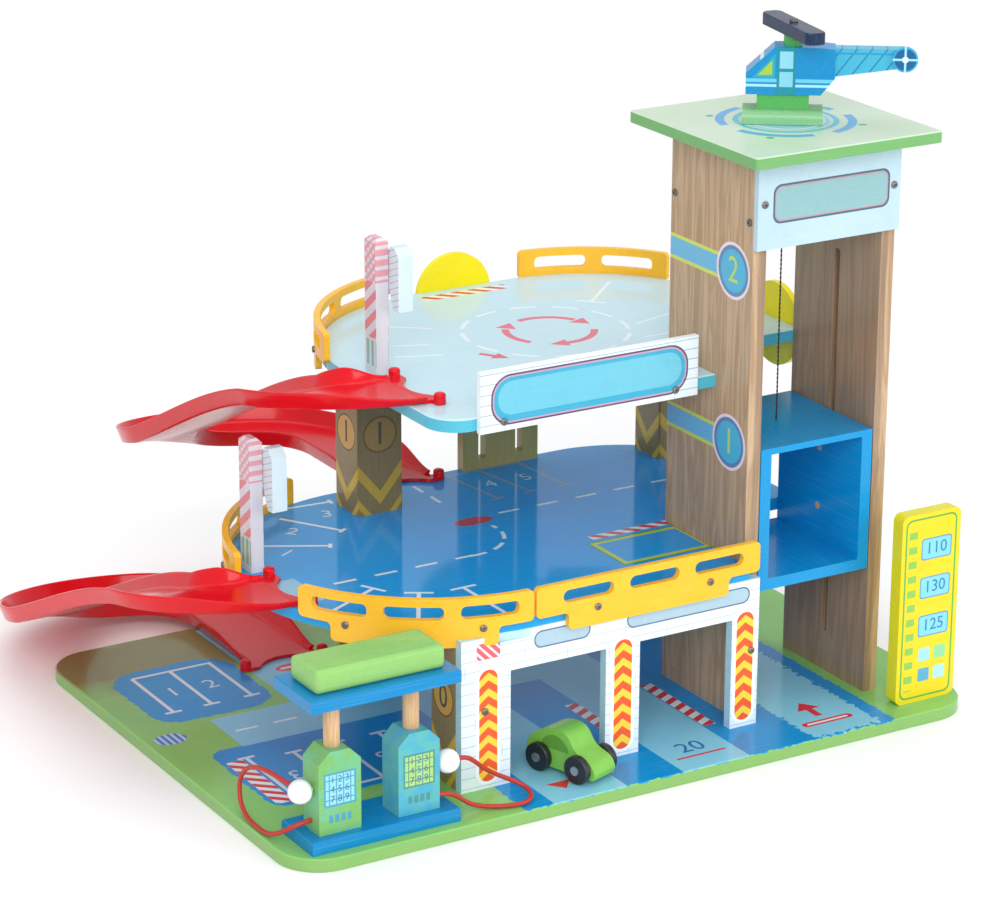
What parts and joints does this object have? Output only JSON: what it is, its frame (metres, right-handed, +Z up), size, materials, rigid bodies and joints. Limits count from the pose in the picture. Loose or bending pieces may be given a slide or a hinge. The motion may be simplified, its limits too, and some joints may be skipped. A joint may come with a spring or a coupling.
{
  "type": "toy parking garage with lift",
  "caption": "Wooden toy garage: board, two decks, lift tower with wound cabin, looping ramps, barriers, fuel island, roof helipad, helicopter and car.",
  "frame": {"origin": "centre of the baseboard's underside", "axes": "+X to the right along the front edge, +Y to the back, +Z up"},
  "size_m": [0.6261, 0.5575, 0.5444],
  "materials": {
    "board_green": "satin lacquer over printed paint",
    "walnut": "satin clear lacquer",
    "white_paint": "satin printed paint",
    "roof_green": "gloss lacquer over printed paint",
    "cabin_blue": "satin paint",
    "deck_blue": "high gloss printed lacquer",
    "deck_light": "high gloss printed lacquer",
    "rail_yellow": "satin paint",
    "ramp_red": "gloss moulded",
    "pillar_brown": "satin printed paint",
    "beech": "bare sanded",
    "pump_green": "satin printed paint",
    "pump_blue": "satin printed paint",
    "canopy_green": "satin paint",
    "hose_red": "satin",
    "bead_white": "gloss paint",
    "price_yellow": "satin printed paint",
    "cord_black": "braided",
    "steel": "dull plated",
    "heli_blue": "gloss printed paint",
    "heli_green": "satin paint",
    "blade_navy": "satin paint",
    "car_green": "gloss paint",
    "wheel_black": "satin paint"
  },
  "bodies": {
    "garage": {"base_board": "board_green", "deck_1": "deck_blue", "deck_2": "deck_light", "tower_panel_left": "walnut", "tower_panel_right": "walnut", "tower_header": "white_paint", "tower_battens": "beech", "roof_plate": "roof_green", "facade": "white_paint", "ground_pillar_front": "pillar_brown", "ground_pillar_left": "pillar_brown", "ground_pillar_right": "pillar_brown", "deck_pillar_left": "pillar_brown", "deck_pillar_right": "pillar_brown", "slotted_support": "pillar_brown", "rail_front_straight": "rail_yellow", "rail_front_curved": "rail_yellow", "rail_left_lower": "rail_yellow", "rail_left_upper": "rail_yellow", "rail_back_upper": "rail_yellow", "billboard": "white_paint", "edge_discs": "rail_yellow", "ramp_lower": "ramp_red", "ramp_upper": "ramp_red", "barrier_post_lower": "white_paint", "barrier_post_upper": "white_paint", "barrier_pins": "beech", "pump_base": "cabin_blue", "pump_green": "pump_green", "pump_blue": "pump_blue", "canopy_columns": "beech", "canopy_plate": "cabin_blue", "canopy_block": "canopy_green", "hose_left": "hose_red", "hose_right": "hose_red", "hose_bead_left": "bead_white", "hose_bead_right": "bead_white", "price_board": "price_yellow", "wood_screws": "steel"},
    "cabin": {"cabin_floor": "cabin_blue", "cabin_roof": "cabin_blue", "cabin_wall_left": "cabin_blue", "cabin_wall_right": "cabin_blue", "cabin_guide_pins": "beech", "lift_cord": "cord_black", "lift_cord_knot": "cord_black"},
    "winder": {"winding_shaft": "beech", "winding_knob": "beech"},
    "boom_lower": {"barrier_boom_lower": "white_paint"},
    "boom_upper": {"barrier_boom_upper": "white_paint"},
    "helicopter": {"heli_undercarriage": "heli_green", "heli_body": "heli_blue", "heli_tail_disc": "heli_blue", "heli_mast": "heli_green", "heli_rotor_screw": "steel"},
    "rotor": {"heli_blade": "blade_navy"},
    "car": {"car_body": "car_green"},
    "front_wheels": {"car_wheels_front": "wheel_black"},
    "rear_wheels": {"car_wheels_rear": "wheel_black"}
  },
  "joints": [
    {"name": "lift_slide", "type": "slide", "parent": "garage", "child": "cabin", "axis": [0, 0, 1], "range_m": [-0.1045, 0.156], "deforming": ["lift_cord"]},
    {"name": "winding_turn", "type": "hinge", "parent": "garage", "child": "winder", "pos_m": [0.17925, -0.11685, 0.425], "axis": [1, 0, 0], "range_deg": [-888, 1325]},
    {"name": "barrier_lower_turn", "type": "hinge", "parent": "garage", "child": "boom_lower", "pos_m": [-0.2135, 0.013, 0.2065], "axis": [1, 0, 0], "range_deg": [0, 90]},
    {"name": "barrier_upper_turn", "type": "hinge", "parent": "garage", "child": "boom_upper", "pos_m": [-0.1045, 0.0135, 0.346], "axis": [1, 0, 0], "range_deg": [0, 90]},
    {"name": "helicopter_lift", "type": "slide", "parent": "garage", "child": "helicopter", "axis": [0, 0, 1], "range_m": [0, 0.08]},
    {"name": "rotor_spin", "type": "hinge", "parent": "helicopter", "child": "rotor", "pos_m": [0.18232, -0.11223, 0.537], "axis": [0, 0, 1], "continuous": true},
    {"name": "car_roll", "type": "slide", "parent": "garage", "child": "car", "axis": [0.309, -0.9511, 0], "range_m": [-0.1, 0.006]},
    {"name": "front_wheels_spin", "type": "hinge", "parent": "car", "child": "front_wheels", "pos_m": [-0.04063, -0.19537, 0.0213], "axis": [0.9511, 0.309, 0], "continuous": true},
    {"name": "rear_wheels_spin", "type": "hinge", "parent": "car", "child": "rear_wheels", "pos_m": [-0.05237, -0.15923, 0.0213], "axis": [0.9511, 0.309, 0], "continuous": true}
  ],
  "couplings": [
    {"joint": "winding_turn", "follows": "lift_slide", "rad_per_m": 148.15}
  ]
}
